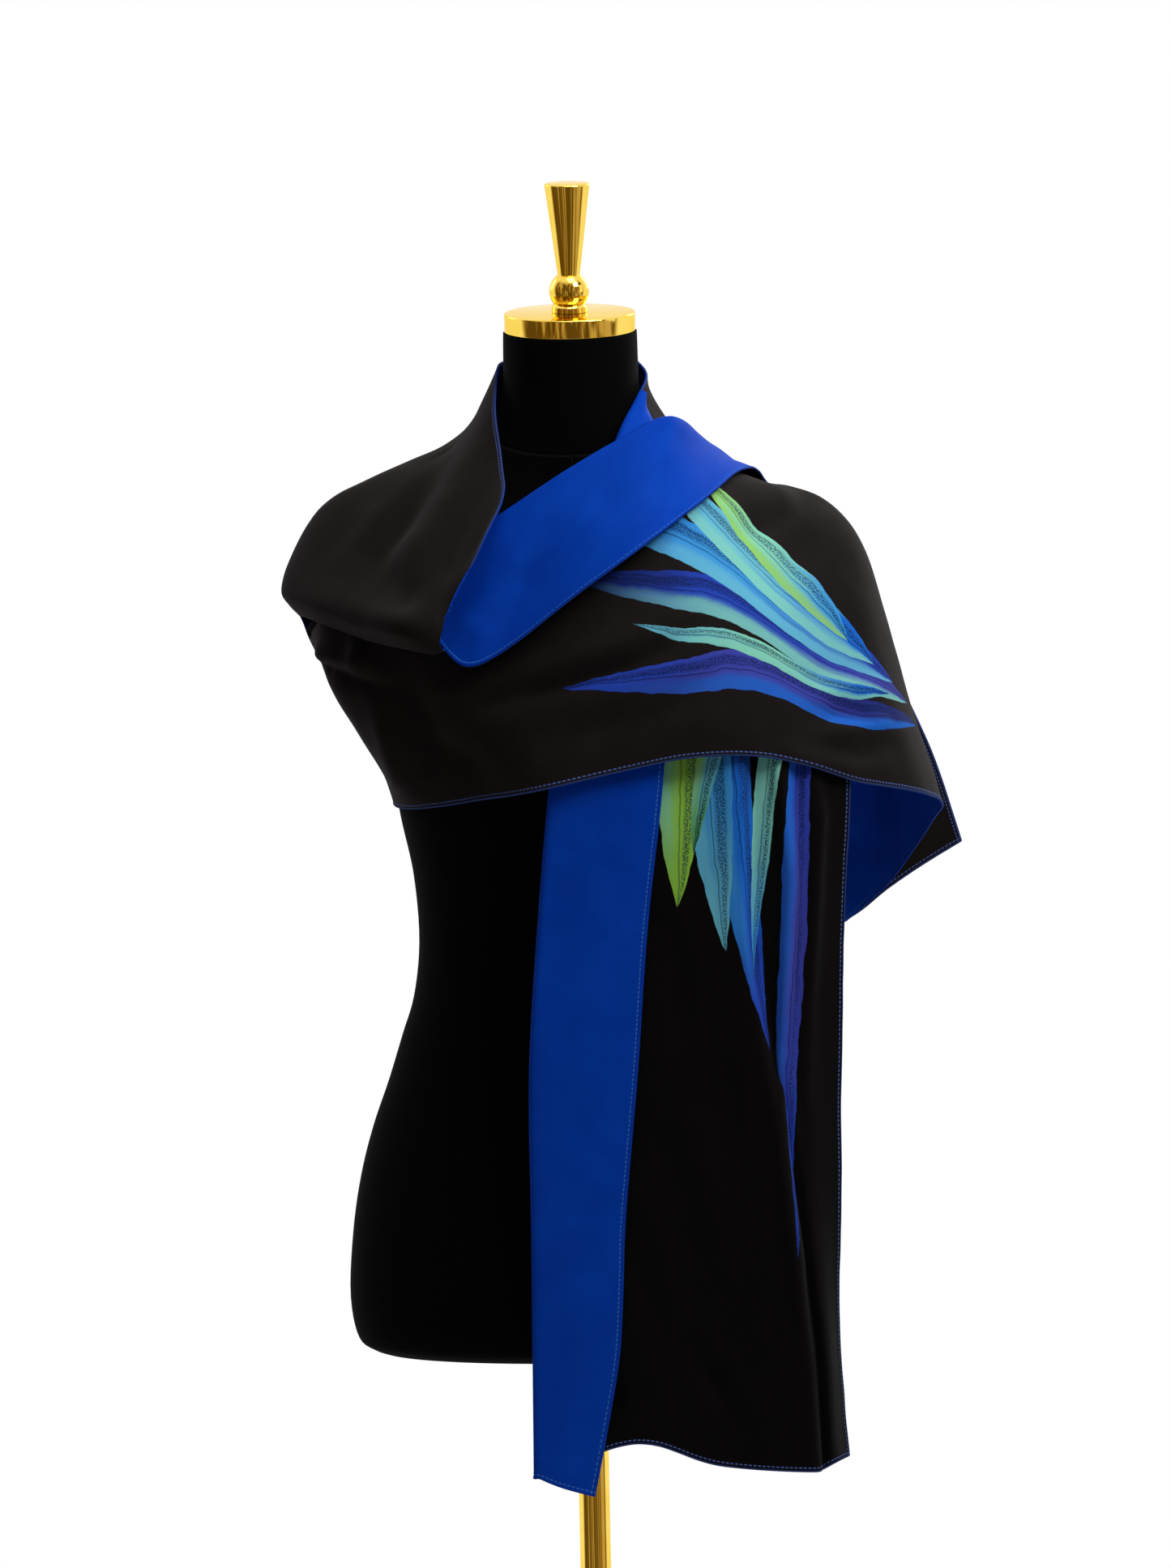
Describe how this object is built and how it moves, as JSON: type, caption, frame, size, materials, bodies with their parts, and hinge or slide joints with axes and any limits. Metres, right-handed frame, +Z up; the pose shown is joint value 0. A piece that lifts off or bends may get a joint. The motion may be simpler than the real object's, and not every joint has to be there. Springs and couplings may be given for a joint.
{
  "type": "shawl on dress form",
  "caption": "Long two-faced shawl wound round the shoulders of a limbless dress form: one end hangs in front, a soft roll on one shoulder, the other end thrown behind.",
  "frame": {"origin": "centre of the round base's underside, on the floor", "axes": "+Z up along the pole, the form faces -Y, +X towards the viewer's right"},
  "size_m": [0.5161, 0.3033, 1.6125],
  "materials": {
    "shawl_cloth": "matte black face with a printed pattern near each end, plain royal blue reverse",
    "form_cover": "matte black close-fitting jersey",
    "polished_brass": "polished yellow gold"
  },
  "bodies": {
    "root": {"front_end": "shawl_cloth", "left_shoulder": "shawl_cloth", "back_stretch": "shawl_cloth", "cowl": "shawl_cloth", "chest_stretch": "shawl_cloth", "thrown_end": "shawl_cloth", "torso": "form_cover", "neck_cap": "polished_brass", "finial": "polished_brass", "pole": "polished_brass", "base": "polished_brass"}
  },
  "joints": []
}
